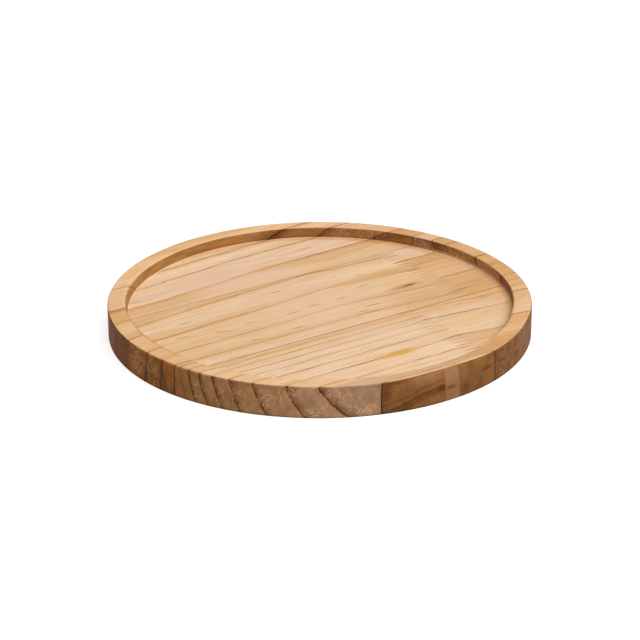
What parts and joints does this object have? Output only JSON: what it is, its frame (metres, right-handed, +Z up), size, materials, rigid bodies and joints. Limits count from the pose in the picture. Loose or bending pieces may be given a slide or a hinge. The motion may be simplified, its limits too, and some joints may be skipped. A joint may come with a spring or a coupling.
{
  "type": "trivet",
  "caption": "Round shallow wooden trivet with a raised rim round a routed recess for a hot dish, cut from an edge-glued, finger-jointed softwood panel.",
  "frame": {"origin": "centre of the base, on the surface that the trivet stands on", "axes": "+Z up out of the recess, +X along the grain, +Y from the front sliver of a stave towards the back stave"},
  "size_m": [0.235, 0.235, 0.018],
  "materials": {
    "pale_timber": "sanded softwood, lightly oiled",
    "honey_timber": "sanded softwood, lightly oiled",
    "tan_timber": "sanded softwood, lightly oiled",
    "cured_glue": "cured wood glue, satin"
  },
  "bodies": {
    "root": {"stave_1_left": "tan_timber", "stave_1_right": "tan_timber", "finger_glue_1": "cured_glue", "edge_glue_1_2": "cured_glue", "stave_2_left": "pale_timber", "stave_2_right": "honey_timber", "finger_glue_2": "cured_glue", "edge_glue_2_3": "cured_glue", "stave_3_left": "honey_timber", "stave_3_right": "tan_timber", "finger_glue_3": "cured_glue", "edge_glue_3_4": "cured_glue", "stave_4": "pale_timber"}
  },
  "joints": []
}
